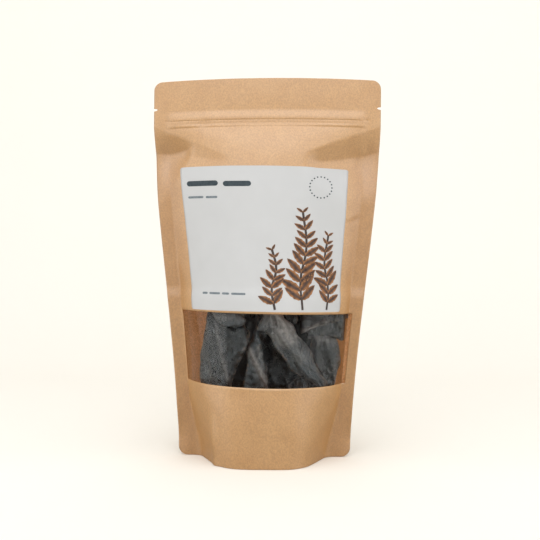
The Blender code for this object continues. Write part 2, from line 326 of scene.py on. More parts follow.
def grain(tree, scale, detail=3.0, stretch=(1.0, 1.0, 1.0)):
    where = node(tree, "ShaderNodeTexCoord").outputs["Object"]
    stretched = node(tree, "ShaderNodeMapping", {"Vector": where, "Scale": stretch}).outputs["Vector"]
    noise = {"Vector": stretched, "Scale": scale, "Detail": detail, "Roughness": NOISE_ROUGHNESS}
    return node(tree, "ShaderNodeTexNoise", noise).outputs["Fac"]


def ramp(tree, factor, *stops):
    """Stops of (place, colour), where a single number stands for a grey."""
    made = node(tree, "ShaderNodeValToRGB", {"Fac": factor})
    for place, colour in stops[1:-1]:
        made.color_ramp.elements.new(place)
    for element, (place, colour) in zip(made.color_ramp.elements, stops):
        element.position = place
        element.color = (*np.broadcast_to(colour, 3), 1.0)
    return made.outputs["Color"]


def blend_colours(tree, factor, first, second, mode="MIX"):
    sockets = {0: factor, 6: first, 7: second}
    return node(tree, "ShaderNodeMix", sockets, data_type="RGBA", blend_type=mode).outputs[2]


def multiply(tree, first, second):
    return blend_colours(tree, 1.0, first, second, mode="MULTIPLY")


def kept(tree, name):
    """A number that the mesh keeps for each of its points."""
    return node(tree, "ShaderNodeAttribute", attribute_name=name).outputs["Fac"]


def bump(tree, shader, *layers):
    """Layers of (height, distance), the first one lowest."""
    below = None
    for height, distance in layers:
        sockets = {"Strength": 1.0, "Distance": distance, "Height": height}
        if below:
            sockets["Normal"] = below
        below = node(tree, "ShaderNodeBump", sockets).outputs["Normal"]
    tree.links.new(below, shader.inputs["Normal"])


# %% [markdown]
# Kraft paper is unbleached wood pulp. From a step away it is one warm brown. Close up it has cloudy
# patches a centimetre wide, short fibres, and darker and lighter flecks. Each of these is a noise of
# its own size, and a shallow bump gives the paper its tooth.

# %% Kraft paper
# Tint of the seals: partly the colour of pressed paper, partly painted shade.
SEAL_AND_SHADE_TINT = (0.84, 0.78, 0.68)
PALE_KRAFT = (0.518, 0.286, 0.107)
DARK_KRAFT = (0.483, 0.258, 0.090)
FIBRES = ((0.87, 0.86, 0.84), (1.10, 1.10, 1.12))
INNER_FIBRES = ((0.66, 0.62, 0.58), (1.22, 1.20, 1.16))
# Painted glow of the inner face, which stands in for light through the paper.
PAINTED_INNER_GLOW = (0.35, 0.145, 0.05, 1.0)
PAINTED_INNER_GLOW_STRENGTH = 0.47


def kraft_paper(name, pale, dark, gloss=1.0, fibres=FIBRES):
    material, tree, shader = new_finish(name, 0.42, Specular_IOR_Level=gloss, IOR=1.65)
    cloud = ramp(tree, grain(tree, 75, 4), (0.34, dark), (0.66, pale))
    fibre = grain(tree, 1350, 4, stretch=(1.0, 1.0, 0.8))
    colour = multiply(tree, cloud, ramp(tree, fibre, (0.36, fibres[0]), (0.64, fibres[1])))
    fleck = ramp(tree, grain(tree, 1700, 1), (0.70, 0), (0.78, 0.5))
    colour = blend_colours(tree, fleck, colour, tuple(0.70 * c for c in dark) + (1.0,))
    # The kept mark darkens the pressed seals, and it paints shade on the side seals and the label's
    # margins.
    seal_and_shade = ramp(tree, kept(tree, "pressed_and_shade"), (0.0, 1.0), (1.0, SEAL_AND_SHADE_TINT))
    tree.links.new(multiply(tree, colour, seal_and_shade), shader.inputs["Base Color"])
    bump(tree, shader, (grain(tree, 260, 3), 0.00008), (grain(tree, 1900, 2), 0.00004))
    return material


kraft = kraft_paper("kraft_paper", PALE_KRAFT, DARK_KRAFT)
kraft_back = kraft_paper("kraft_back_paper", PALE_KRAFT, DARK_KRAFT)
kraft_foot = kraft_paper("kraft_foot_paper", pale=(0.500, 0.272, 0.100), dark=(0.462, 0.243, 0.083))
kraft_inside = kraft_paper("kraft_inner_face", pale=(0.56, 0.32, 0.17), dark=(0.46, 0.25, 0.12), gloss=0.2,
                           fibres=INNER_FIBRES)
# The inner face gets a painted glow, an emission that stands in for light coming through the thin paper.
inner_shader = kraft_inside.node_tree.nodes["Principled BSDF"]
inner_shader.inputs["Emission Color"].default_value = PAINTED_INNER_GLOW
inner_shader.inputs["Emission Strength"].default_value = PAINTED_INNER_GLOW_STRENGTH

# %% [markdown]
# Every sheet starts as Blender's own grid, whose corners are then bent onto the pouch, and Solidify
# gives it the thickness of paper. Columns and rows are placed where an edge has to be crisp:
# at the window, the tear notches, the rounded corners and the lines of the zip.

# %% Sheets from a grid
def add_piece(name, data, material=None):
    """A new object in the scene, for a mesh, a line, a camera or a light."""
    if material:
        data.materials.append(material)
    piece = bpy.data.objects.new(name, data)
    bpy.context.scene.collection.objects.link(piece)
    return piece


def end_mesh(name, bm):
    mesh = bpy.data.meshes.new(name)
    bm.to_mesh(mesh)
    bm.free()
    return mesh


def thicken(piece, thickness, offset=0.0):
    wall = piece.modifiers.new("Thickness", "SOLIDIFY")
    wall.thickness = thickness
    wall.offset = offset


def bent_grid(name, columns, rows, point, material, thickness=0.0, hole=None, offset=0.0, mark=None):
    """A grid of columns by rows, whose corners point(column, row) puts in place. mark(column, row) is
    how much the kraft colour darkens there: partly where heat pressed the paper, partly painted shade."""
    wide = len(columns) - 1
    high = len(rows) - 1
    bm = bmesh.new()
    bmesh.ops.create_grid(bm, x_segments=wide, y_segments=high, size=0.5)
    flat = np.array([vertex.co for vertex in bm.verts])
    i = np.rint((flat[:, 0] + 0.5) * wide).astype(int)
    j = np.rint((flat[:, 1] + 0.5) * high).astype(int)
    if hole is not None:
        hole_cells = hole(columns, rows)
        cut = []
        for face in bm.faces:
            ids = [vertex.index for vertex in face.verts]
            if hole_cells[j[ids].min(), i[ids].min()]:
                cut.append(face)
    for vertex, place in zip(bm.verts, point(np.asarray(columns)[i], np.asarray(rows)[j])):
        vertex.co = place
    if mark is not None:
        # Darkening for the kraft colour: pressed seals and painted shade.
        pressed_and_shade = bm.verts.layers.float.new("pressed_and_shade")
        for vertex, value in zip(bm.verts, mark(np.asarray(columns)[i], np.asarray(rows)[j])):
            vertex[pressed_and_shade] = value
    if hole is not None:
        bmesh.ops.delete(bm, geom=cut, context="FACES")
    mesh = end_mesh(name, bm)
    mesh.shade_smooth()
    piece = add_piece(name, mesh, material)
    if thickness:
        thicken(piece, thickness, offset)
    return piece


def spread(start, end, pitch):
    return list(np.linspace(start, end, max(2, int(round(abs(end - start) / pitch)) + 1)))


def joined(*runs):
    """Runs of positions as one rising list without repeats."""
    together = sorted(value for run in runs for value in run)
    spaced = [together[0]]
    for value in together[1:]:
        if value - spaced[-1] > 1e-5:
            spaced.append(value)
    return spaced


def round_ends(start, end, radius, pitch, steps):
    """Positions from start to end, close together over the round corners or ends."""
    close = [radius * (1 - math.cos(a)) for a in np.linspace(0, math.pi / 2, steps)]
    return joined([start + c for c in close], spread(start + radius, end - radius, pitch),
                  [end - c for c in close])


# %% [markdown]
# The front and back panels are cut from the same pattern: round corners at the top and the foot, a tear
# notch in each side seal, and in the front a hole for the window. Heat has pressed the seals flat and
# made the paper there a little darker. Painted shade darkens the side seals further, and the margins
# beside the label too. Both are kept on the mesh for the kraft colour to read.

# %% Front and back panels
WINDOW = (-0.0548, 0.0594, 0.0442, 0.0846)
WINDOW_TILT = -0.019
LABEL_TOP = 0.1684
CLOSED = PAPER / 2 + 0.00008
FOOT_LAYER = 0.0011
ZIP_ROOM = 0.0009
SEAL_LOW = 0.006
GUSSET = 0.040
SEAL_POWER = 2.4
ROW_PITCH = 0.0011
COLUMN_PITCH = 0.00115


def tilted(column, row):
    near = smooth(0.012, WINDOW[2], row) * (1 - smooth(LABEL_TOP, 0.187, row))
    return row + WINDOW_TILT * column * near


def layer(u, v):
    """How far out a panel lies, so that gusset, film and zip fit between the two."""
    body = 1 - smooth(0.049, 0.061, np.abs(u))
    foot = 1 - smooth(0.092, 0.100, v)
    zip_band = smooth(0.176, ZIP_LOW, v) * (1 - smooth(0.1975, SEAL_BAND, v))
    return CLOSED + (FOOT_LAYER - CLOSED) * foot + ZIP_ROOM * zip_band * body


def panel_rows():
    ends = 0.0052
    corner = [CORNER * (1 - math.cos(a)) for a in np.linspace(0, math.pi / 2, 9)]
    low = spread(ends, WINDOW[2], ROW_PITCH) + spread(WINDOW[2], WINDOW[3], COLUMN_PITCH)
    middle = spread(WINDOW[3], 0.1700, ROW_PITCH) + spread(0.1700, ZIP_LOW - 0.0012, 0.0009)
    zip_rows = spread(ZIP_LOW - 0.0012, ZIP_HIGH + 0.0012, 0.00028)
    upper = spread(ZIP_HIGH + 0.0012, NOTCH_AT - NOTCH_HALF, 0.0008)
    notch = [NOTCH_AT - NOTCH_HALF * math.cos(a) for a in np.linspace(0, math.pi, 11)]
    top = spread(NOTCH_AT + NOTCH_HALF, FLAT - ends, ROW_PITCH)
    return joined(corner, low, middle, zip_rows, upper, notch, top, [FLAT - c for c in corner])


def panel_columns(*crisp):
    inner = spread(-BODY, BODY, COLUMN_PITCH)
    seals = spread(BODY, HALF, 0.0010)
    columns = joined(inner, seals, [-c for c in seals])
    for value in crisp:
        nearest = min(range(len(columns)), key=lambda k: abs(columns[k] - value))
        columns[nearest] = value
    return columns


def panel_point(side, relief):
    """The back's columns run the other way, so that both sheets have their faces outwards."""
    def point(column, row):
        v = tilted(-side * column, row)
        u = across(-side * column, v)
        return bend(u, v, side, layer(u, v) + relief(u, v))

    return point


def window_cells(columns, rows):
    c = np.array(columns)
    r = np.array(rows)
    in_columns = (c[:-1] >= WINDOW[0] - 1e-6) & (c[1:] <= WINDOW[1] + 1e-6)
    in_rows = (r[:-1] >= WINDOW[2] - 1e-6) & (r[1:] <= WINDOW[3] + 1e-6)
    return in_rows[:, None] & in_columns[None, :]


def seal_and_shade_mark(column, row):
    """Where the paper is deeper brown: at the foot below the gusset's curve, where heat has pressed the
    sheets together; along the side seals, partly pressed paper and partly painted shade; and on the
    margins beside the label, as painted shade."""
    u = across(np.abs(column), row)
    share = np.clip(np.abs(column) / BODY, 0.0, 1.0)
    curve = mix(SEAL_LOW, GUSSET, share**SEAL_POWER)
    # Painted shade along the side seals, on top of their pressed colour, and on the margins beside the
    # label.
    side = 0.7 * smooth(BODY - 0.0010, BODY + 0.0016, u) * (1 - smooth(0.178, 0.190, row))
    margin = 0.85 * smooth(0.046, 0.055, u) * smooth(0.060, 0.105, row) * (1 - smooth(0.166, 0.182, row))
    foot = (0.15 + 0.85 * share**3) * (1 - smooth(curve - 0.003, curve + 0.005, row))
    return np.maximum(np.maximum(side, margin), foot)


front = bent_grid("front_paper", panel_columns(WINDOW[0], WINDOW[1]), panel_rows(),
                  panel_point(-1, front_relief), kraft, PAPER, hole=window_cells, mark=seal_and_shade_mark)
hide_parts("front_panel")
back = bent_grid("back_paper", panel_columns(), panel_rows(), panel_point(1, back_relief), kraft_back,
                 PAPER, mark=seal_and_shade_mark)
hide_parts("back_panel")
for piece in (front, back):
    piece.data.materials.append(kraft_inside)
    piece.modifiers["Thickness"].material_offset = 1
    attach(piece, "root")
    print(piece.name, len(piece.data.polygons), "faces before thickness")

# %% [markdown]
# The foot is a separate sheet. Two flanges are sealed inside the panels up to a curve that climbs
# towards the sides, and the floor between them sags until its middle lies on the table.

# %% Gusset
GUSSET_INSET = 0.0003
GUSSET_OUT = 0.00015
GUSSET_PAPER = 0.0003


def floor_shape(share, reach):
    up_across = smooth(0.50, 1.0, np.abs(reach))
    up_along = smooth(0.35, 1.0, np.abs(share))
    return 1 - (1 - up_across) * (1 - up_along)


def gusset_point(column, row):
    """row runs 0 to 1 up the front flange, 1 to 2 over the floor and 2 to 3 down the back flange."""
    share = np.clip(np.abs(column) / BODY, 0.0, 1.0)
    curve = mix(SEAL_LOW, GUSSET, share**SEAL_POWER)
    side = np.where(row < 1.5, -1.0, 1.0)
    t = np.where(row < 1.5, np.clip(row, 0, 1), np.clip(3 - row, 0, 1))
    v = mix(0.0004, curve, t)
    u = across(column, v, GUSSET_INSET)
    flange = bend(u, v, side, GUSSET_OUT)
    on_curve = across(column, curve, GUSSET_INSET)
    head = bend(on_curve, curve, -1, GUSSET_OUT)
    tail = bend(on_curve, curve, 1, GUSSET_OUT)
    reach = np.clip(2 * (row - 1) - 1, -1, 1)
    floor = mix(head, tail, ((reach + 1) / 2)[..., None])
    floor[..., 2] = floor[..., 2] * floor_shape(share, reach)
    on_floor = (row > 1) & (row < 2)
    return np.where(on_floor[..., None], floor, flange)


gusset_rows = joined(spread(0, 1, 0.07), spread(1, 2, 0.03), spread(2, 3, 0.07))
gusset_seals = spread(BODY, HALF, 0.0017)
gusset_columns = joined(spread(-BODY, BODY, 0.0022), gusset_seals, [-c for c in gusset_seals])
gusset = bent_grid("gusset_paper", gusset_columns, gusset_rows, gusset_point, kraft_foot, GUSSET_PAPER,
                   offset=1.0)
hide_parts("bottom_gusset")
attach(gusset, "root")

# %% [markdown]
# Behind the window stand dried kelp blades. A fresh blade is a long flat ribbon with a wavy margin. Drying
# shrinks the middle less than the margin, so a blade folds lengthwise, its rim rolls over and the whole
# skin wrinkles like leather. Each blade here is a sheet drawn between two edge lines, in millimetres
# across and up, and pushed back to a share of the way from the front sheet to the back sheet.

# %% Room inside the pouch
MM = 0.001
ROOM_X = np.linspace(-0.058, 0.058, 233)
ROOM_Z = np.linspace(0.0, TALL, 179)
FILM_CLEAR = 0.0016


def depth_table(side):
    flat_u = np.linspace(-HALF, HALF, 261)
    rows = [bend(flat_u, z * FLAT / TALL, side, 0.0) for z in ROOM_Z]
    return np.array([np.interp(ROOM_X, row[:, 0], row[:, 1]) for row in rows])


FRONT_DEPTH = depth_table(-1)
BACK_DEPTH = depth_table(1)


def look_up(table, x, z):
    i = np.clip((x - ROOM_X[0]) / (ROOM_X[1] - ROOM_X[0]), 0, len(ROOM_X) - 1.001)
    j = np.clip(z / (ROOM_Z[1] - ROOM_Z[0]), 0, len(ROOM_Z) - 1.001)
    left, low = i.astype(int), j.astype(int)
    lower = mix(table[low, left], table[low, left + 1], i - left)
    upper = mix(table[low + 1, left], table[low + 1, left + 1], i - left)
    return mix(lower, upper, j - low)


def in_room(x, z, share, forward):
    """A place inside: share 0 is the front sheet, 1 is the back sheet, and forward is towards the front."""
    front_y = look_up(FRONT_DEPTH, x, z)
    back_y = look_up(BACK_DEPTH, x, z)
    nearest = front_y + FILM_CLEAR
    farthest = np.maximum(back_y - FILM_CLEAR, nearest)
    y = np.clip(mix(front_y, back_y, share) - forward, nearest, farthest)
    return np.stack([x, y, z], axis=-1)


room_deep = float(look_up(BACK_DEPTH - FRONT_DEPTH, 0.0, np.array(0.065)))
print("room for kelp behind the window in mm", round(room_deep / MM, 1))


# %% [markdown]
# A point of a blade is found in steps: its place between the two edge lines, the roll of the margin,
# the arch and the folds along the blade, raised ridges, and wrinkles in three sizes. What comes out is
# kept inside the room between film and back sheet.

# %% Shape of one blade
def along_path(points, t):
    """A smooth curve through given points, read at shares t of its length."""
    points = np.array(points, float) * MM
    ends = np.vstack([2 * points[0] - points[1], points, 2 * points[-1] - points[-2]])
    steps = np.linspace(0, 1, 9)[:-1]
    pieces = []
    for a, b, c, d in zip(ends, ends[1:], ends[2:], ends[3:]):
        for s in steps:
            pieces.append(0.5 * (2 * b + (c - a) * s + (2 * a - 5 * b + 4 * c - d) * s**2
                                 + (3 * b - a - 3 * c + d) * s**3))
    curve = np.array(pieces + [points[-1]])
    lengths = np.concatenate([[0], np.cumsum(np.linalg.norm(np.diff(curve, axis=0), axis=1))])
    share = lengths / lengths[-1]
    return np.stack([np.interp(t, share, curve[:, 0]), np.interp(t, share, curve[:, 1])], axis=-1)


def creases(x, z, length, seed):
    """Sharp-crested unevenness, like the wrinkles of dry leather."""
    return 1.0 - 1.6 * np.abs(wavy(x, z, length, seed))


BLADE_ARCH = 1.3 * MM
RIM_FROM = 0.86
RIM_ROLL = 2.4
# Wrinkles run along the blade, so each size is read from stretched places: across, up, height, length.
WAVES = (1.6, 0.55, 0.75, 0.010)
WRINKLES = ((1.5, 0.8, 0.42, 0.0065), (1.0, 1.0, 0.13, 0.0024))


def blade_point(blade):
    def point(s, t):
        left = along_path(blade["left"], t)
        right = along_path(blade["right"], t)
        width = np.linalg.norm(right - left, axis=-1)
        towards = (right - left) / np.maximum(width, 1e-6)[..., None]
        radius = np.minimum(blade.get("rim", 1.1) * MM, width / 5)
        turn = RIM_ROLL * np.maximum(np.abs(s) - RIM_FROM, 0.0) / (1 - RIM_FROM)
        flat_half = width / 2 - radius
        reach = np.sign(s) * (flat_half * np.minimum(np.abs(s) / RIM_FROM, 1.0) + radius * np.sin(turn))
        forward = radius * (np.cos(turn) - 1)
        place = (left + right) / 2 + towards * reach[..., None]
        x, z = place[..., 0], place[..., 1]
        margin = smooth(0.45, 1.0, np.abs(s))
        seed = blade["seed"]
        ruffle = margin * blade.get("ruffle", 0.7) * MM
        x = x + 0.6 * ruffle * wavy(x, z, 0.009, seed + 50)
        forward = forward + ruffle * wavy(x, z, 0.008, seed + 51)
        for start, end, wide, height in blade.get("folds", ()):
            centre = mix(start, end, t)
            forward = forward + height * MM * np.exp(-(((s - centre) / wide) ** 2))
        for (x0, z0), (x1, z1), wide, height in blade.get("ridges", ()):
            start, end = (x0 * MM, z0 * MM), (x1 * MM, z1 * MM)
            forward = forward + ridge(x, z, start, end, wide * MM, height * MM)
        forward = forward + BLADE_ARCH * (1 - s**2)
        wrinkle = blade.get("wrinkle", 1.0) * MM
        wide, tall, height, length = WAVES
        forward = forward + wrinkle * height * wavy(x * wide, z * tall, length, seed)
        for step, (wide, tall, height, length) in enumerate(WRINKLES, start=1):
            forward = forward + wrinkle * height * creases(x * wide, z * tall, length, seed + step)
        share = mix(blade["share"][0], blade["share"][1], t)
        return in_room(x, z, share, forward)

    return point


def ridge(x, z, start, end, wide, height):
    """A raised crest along a line, fading at its ends."""
    line = np.array(end) - np.array(start)
    length = np.hypot(*line)
    along = ((x - start[0]) * line[0] + (z - start[1]) * line[1]) / length**2
    off = ((z - start[1]) * line[0] - (x - start[0]) * line[1]) / length
    ends = smooth(-0.2, 0.1, along) * (1 - smooth(0.9, 1.2, along))
    return height * ends * np.exp(-np.abs(off / wide) ** 1.5)


# %% [markdown]
# The outlines follow what shows through the window: a broad blade on the left, a short tongue over it, a
# twisted fold in the middle, a wide band that runs down to the right, and rounded lobes on the right.
# Behind them larger blades fill the pouch. One blade may fold back on itself, so it has several sheets.

# %% The blades
BLADES = {
    1: [dict(
        left=[(-29, 116), (-30.5, 98), (-31.7, 81.7), (-34.6, 67), (-35.9, 56.8), (-36.2, 46.4), (-34, 28)],
        right=[(-9, 116), (-10, 96), (-11.2, 77), (-7.9, 71.6), (-9.1, 64.4), (-12.5, 57.8),
               (-16.3, 48.5), (-18.5, 39.2), (-20, 26)],
        share=(0.14, 0.13), seed=11, rim=0.9, folds=[(-0.2, 0.25, 0.13, 1.0), (0.35, 0.75, 0.16, 0.7)],
        ridges=[((-26.5, 74), (-19, 44), 1.3, 1.7), ((-11, 74), (-9, 64), 0.9, 1.2),
                ((-31, 62), (-28, 46), 1.2, 1.0)])],
    2: [dict(
        left=[(-30, 116), (-29.5, 100), (-29.1, 89), (-28.4, 82), (-26.2, 77.9), (-22, 75.5)],
        right=[(-14, 116), (-15, 100), (-15.3, 89.4), (-13.4, 82.4), (-10.3, 78.6), (-11.2, 76.2),
               (-15, 75.1), (-18.5, 75)],
        share=(0.055, 0.05), seed=21, rim=0.7, ruffle=0.4, wrinkle=0.6)],
    3: [dict(
        left=[(0.5, 116), (0.9, 100), (0.9, 89.4), (-0.1, 82.4), (-2.5, 76), (-3.6, 72.9), (-1.1, 72.9),
              (2.2, 70.5), (5.5, 65.8), (9.3, 59.5), (13.9, 52.5), (20.1, 47.3), (25.6, 45.1), (30, 38),
              (31, 28)],
        right=[(9, 116), (9, 100), (9.1, 89.4), (9.7, 81.8), (15.2, 75.8), (17.4, 70.9), (21, 67),
               (23.9, 63.7), (25.4, 61.2), (26.9, 55.9), (31, 49), (34.5, 42), (38, 28)],
        share=(0.12, 0.12), seed=31, rim=1.0, folds=[(0.1, -0.3, 0.2, 1.3), (0.75, 0.5, 0.15, 0.8)],
        ridges=[((6, 84), (21, 56), 1.8, 1.6)])],
    4: [dict(
        left=[(-3, 88), (-4, 77.1), (-6.6, 69.4), (-9.1, 61.2), (-9.9, 50.8), (-11.7, 43.1), (-13, 34),
              (-11, 15)],
        right=[(1, 88), (0, 77.1), (-2.4, 67.9), (-1.1, 59.4), (0.6, 53.2), (1.5, 46.9), (2.1, 41.3),
               (4, 32), (6, 15)],
        share=(0.24, 0.20), seed=41, rim=0.7, ridges=[((-7.6, 61), (1.6, 42), 0.8, 1.7)])],
    5: [dict(
        left=[(20, 70.3), (22.8, 71.6), (27.2, 73.7), (34, 75.1), (37.7, 76.3), (45.3, 78.3), (47, 79)],
        right=[(16, 106), (24, 107), (32, 107), (46, 106)],
        share=(0.32, 0.30), seed=51, rim=0.9, wrinkle=1.3, ridges=[((20, 71), (35, 77.5), 1.0, 1.6)]
    ), dict(
        left=[(24, 67), (28, 67.3), (33, 68.7), (38, 68.3), (42.3, 65.9), (44.2, 66.6)],
        right=[(22, 86), (28, 88), (34, 89), (45.7, 88)],
        share=(0.40, 0.40), seed=52, rim=0.6)],
    6: [dict(
        left=[(33, 70), (29, 69), (25.8, 66), (25.2, 61), (26.7, 55.1), (30.7, 48.1), (33, 41.6), (33, 30)],
        right=[(33.6, 70), (37.2, 69.0), (40.7, 66.3), (41.9, 62.7), (42.2, 55.6), (41.6, 50.3),
               (38.9, 45.5), (39, 40), (39, 30)],
        share=(0.46, 0.40), seed=61, rim=0.9)],
    7: [dict(
        left=[(-28, 126), (-30, 104), (-30, 74), (-30, 48), (-24, 24)],
        right=[(32, 126), (35, 104), (36, 74), (35, 48), (27, 24)],
        share=(0.56, 0.54), seed=71, folds=[(-0.3, -0.1, 0.1, 2.0), (0.4, 0.5, 0.1, 2.2)],
        ridges=[((0, 67), (11, 55), 1.6, 2.4)], wrinkle=1.8
    ), dict(
        left=[(9, 92), (9.6, 83), (11.5, 78.5), (15, 76)],
        right=[(17, 92), (17.2, 84), (17.6, 79), (17, 76.4)],
        share=(0.22, 0.22), seed=72, rim=0.6
    ), dict(
        left=[(22, 46.6), (17.9, 45.9), (14.7, 43.7), (13, 38), (13, 27)],
        right=[(23, 46.6), (29.5, 45.3), (32.9, 42.4), (35, 36), (35, 27)],
        share=(0.22, 0.22), seed=73, rim=0.8)],
    8: [dict(
        left=[(-28, 124), (-30, 104), (-31, 72), (-30, 46), (-23, 22)],
        right=[(28, 124), (31, 104), (32, 72), (31, 46), (24, 22)],
        share=(0.73, 0.72), seed=81, wrinkle=1.6)],
    9: [dict(
        left=[(-30, 120), (-32, 100), (-33, 70), (-32, 46), (-24, 22)],
        right=[(30, 120), (33, 100), (33, 70), (32, 46), (24, 22)],
        share=(0.90, 0.90), seed=91, wrinkle=1.6)],
}
KELP_THICKNESS = 0.00045
KELP_TONE = (0.028, 0.037, 0.044)
# Tone factor of each blade: partly its own tone, and partly painted light and shade, darker for the deep
# blades 8 and 9 and paler for blades 2, 3 and 4.
BLADE_TONE_AND_PAINTED_LIGHT = {1: 0.65, 2: 1.3, 3: 1.3, 4: 1.2, 5: 0.9, 6: 0.7, 7: 0.75, 8: 0.5, 9: 0.4}
BROWN_RIM = (0.20, 0.125, 0.075, 1.0)
SALT = (0.34, 0.35, 0.34, 1.0)
# Pale colour along the listed lines: partly bloom, partly painted highlight.
PALE_SKIN_AND_HIGHLIGHT = (0.27, 0.255, 0.245, 1.0)
# For each blade, lines in mm along which the dried skin is pale, with their width and strength. The pale
# is partly bloom on the dry skin and partly painted highlight along the crests of folds.
PALE_SKIN_AND_HIGHLIGHT_LINES = {
    1: [((-26.5, 74), (-19, 44), 1.1, 0.35)],
    2: [((-27, 80), (-12, 80), 3.0, 0.30)],
    3: [((5, 86), (14, 67), 6.0, 1.0), ((15, 67), (22, 56), 3.0, 0.30)],
    4: [((-8.2, 62), (1.6, 42), 1.7, 0.95), ((-3.5, 64), (-2.5, 58), 0.8, 0.6)],
    5: [((20, 71), (35, 77.5), 1.1, 0.6)],
    6: [((27, 67), (40, 66), 2.4, 0.30)],
    7: [((6, 64), (12, 56), 1.6, 0.45)],
}
BLADE_ROWS = 0.9
BLADE_COLUMNS = 64


def dry_kelp(name, tone):
    material, tree, shader = new_finish(name, 0.4, Specular_IOR_Level=0.55)
    streaks = grain(tree, 150, 5, stretch=(1.0, 1.0, 0.4))
    cloud = ramp(tree, streaks, (0.34, tuple(0.45 * c for c in tone)), (0.66, tone))
    skin = ramp(tree, grain(tree, 800, 4), (0.36, 0.62), (0.64, (1.40, 1.38, 1.36)))
    patchy = ramp(tree, grain(tree, 600, 3), (0.45, 0), (0.75, 1))
    brown = multiply(tree, patchy, kept(tree, "margin"))
    colour = blend_colours(tree, brown, multiply(tree, cloud, skin), BROWN_RIM)
    speckle = ramp(tree, grain(tree, 1500, 2), (0.56, 0), (0.70, 0.75))
    patch = ramp(tree, grain(tree, 55, 2), (0.46, 0), (0.66, 1))
    colour = blend_colours(tree, multiply(tree, speckle, patch), colour, SALT)
    uneven = ramp(tree, grain(tree, 520, 4), (0.32, 0.45), (0.62, 1))
    # Pale skin on the blade: partly bloom, partly painted highlight along fold crests.
    colour = blend_colours(tree, multiply(tree, kept(tree, "pale"), uneven), colour, PALE_SKIN_AND_HIGHLIGHT)
    tree.links.new(colour, shader.inputs["Base Color"])
    rough = ramp(tree, grain(tree, 300, 3), (0.35, 0.24), (0.65, 0.50))
    tree.links.new(rough, shader.inputs["Roughness"])
    bump(tree, shader, (grain(tree, 420, 4), 0.00034), (grain(tree, 1300, 3), 0.00020))
    return material


def keep_on_mesh(mesh, name, values):
    mesh.attributes.new(name, "FLOAT", "POINT").data.foreach_set("value", values)


def pale_and_highlight_strength(number, places):
    total = np.zeros(len(places))
    for (x0, z0), (x1, z1), wide, height in PALE_SKIN_AND_HIGHLIGHT_LINES.get(number, ()):
        start, end = (x0 * MM, z0 * MM), (x1 * MM, z1 * MM)
        total += ridge(places[:, 0], places[:, 2], start, end, wide * MM, height)
    return np.clip(total, 0.0, 1.0)


def make_blade(number, sheets):
    bm = bmesh.new()
    margins = []
    for blade in sheets:
        reach = np.linalg.norm(np.diff(np.array(blade["left"], float), axis=0), axis=1).sum()
        columns = list(np.linspace(-1, 1, BLADE_COLUMNS + 1))
        rows = spread(0, 1, BLADE_ROWS / reach)
        sheet = bent_grid("sheet", columns, rows, blade_point(blade), None)
        bm.from_mesh(sheet.data)
        margins += [abs(s) for _ in rows for s in columns]
        bpy.data.objects.remove(sheet)
    mesh = end_mesh(f"kelp_{number}", bm)
    keep_on_mesh(mesh, "margin", smooth(0.72, 1.0, np.array(margins)))
    # Strength of the pale skin and painted highlight, kept on the mesh.
    keep_on_mesh(mesh, "pale", pale_and_highlight_strength(number, np.array([vertex.co for vertex in mesh.vertices])))
    mesh.shade_smooth()
    # The blade's tone, partly painted light and shade.
    tone = tuple(BLADE_TONE_AND_PAINTED_LIGHT[number] * c for c in KELP_TONE)
    piece = add_piece(f"kelp_{number}", mesh, dry_kelp(f"dry_kelp_{number}", tone))
    thicken(piece, KELP_THICKNESS)
    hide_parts(f"kelp_blade_{number}")
    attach(piece, "root")
    return piece


for number, sheets in BLADES.items():
    piece = make_blade(number, sheets)
    print(piece.name, len(piece.data.polygons), "faces")

# %% [markdown]
# The window is a clear film welded behind the hole. Glass-like transmission shows what is behind it. Its
# index is well below that of real film, because hardly any gloss of the lights shows on the window.

# %% Window film
FILM_INDEX = 1.18
film_finish = new_finish("clear_film", 0.0, Transmission_Weight=1.0, IOR=FILM_INDEX,
                         Base_Color=(0.97, 0.97, 0.96, 1.0))[0]
FILM_MARGIN = 0.0024
FILM_OUT = 0.00062


def film_point(column, row):
    v = tilted(column, row)
    u = across(column, v)
    edge = 1 - smooth(0.046, 0.056, np.abs(column))
    return bend(u, v, -1, FILM_OUT + 0.00010 * edge * wavy(u, v, 0.022, seed=7))


film = bent_grid("window_clear_film", spread(WINDOW[0] - FILM_MARGIN, WINDOW[1] + FILM_MARGIN, 0.0012),
                 spread(WINDOW[2] - FILM_MARGIN, WINDOW[3] + FILM_MARGIN, 0.0012), film_point,
                 film_finish, 0.00012)
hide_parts("window_film")
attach(film, "root")

# %% [markdown]
# The label is plain white paper. It takes the paper's relief below it, so it shows the same waves.

# %% Label
LABEL = (0.0937, 0.0858, LABEL_TOP)
LABEL_TAPER = 0.0766
LABEL_SLANT = 0.0026
LABEL_TILT = -0.015
LABEL_PAPER = 0.00012
LABEL_GLUE = 0.00004


def label_flat(s, t):
    """Pouch coordinates of a place on the label: s across from its middle and t up, both in metres. The
    label is drawn narrower downwards, because it looks so on the full belly of the pouch."""
    v = LABEL[1] + t
    down = 0.5 - t / (LABEL[2] - LABEL[1])
    u = s * (1 - LABEL_TAPER * down) + LABEL_SLANT * down
    return u, v + LABEL_TILT * u


def on_label(s, t, above):
    u, v = label_flat(s, t)
    stuck = layer(u, v) + front_relief(u, v) + PAPER / 2 + LABEL_PAPER / 2 + LABEL_GLUE
    return bend(u, v, -1, stuck + above)


label_white, label_tree, label_shader = new_finish("label_white", 0.5, Specular_IOR_Level=0.4)
label_tone = ramp(label_tree, grain(label_tree, 60, 2),
                  (0.3, (0.500, 0.505, 0.508)), (0.7, (0.523, 0.528, 0.532)))
label_tree.links.new(label_tone, label_shader.inputs["Base Color"])
bump(label_tree, label_shader, (grain(label_tree, 900, 2), 0.00002))
LABEL_ROUND = 0.0013
LABEL_PITCH = 0.0012


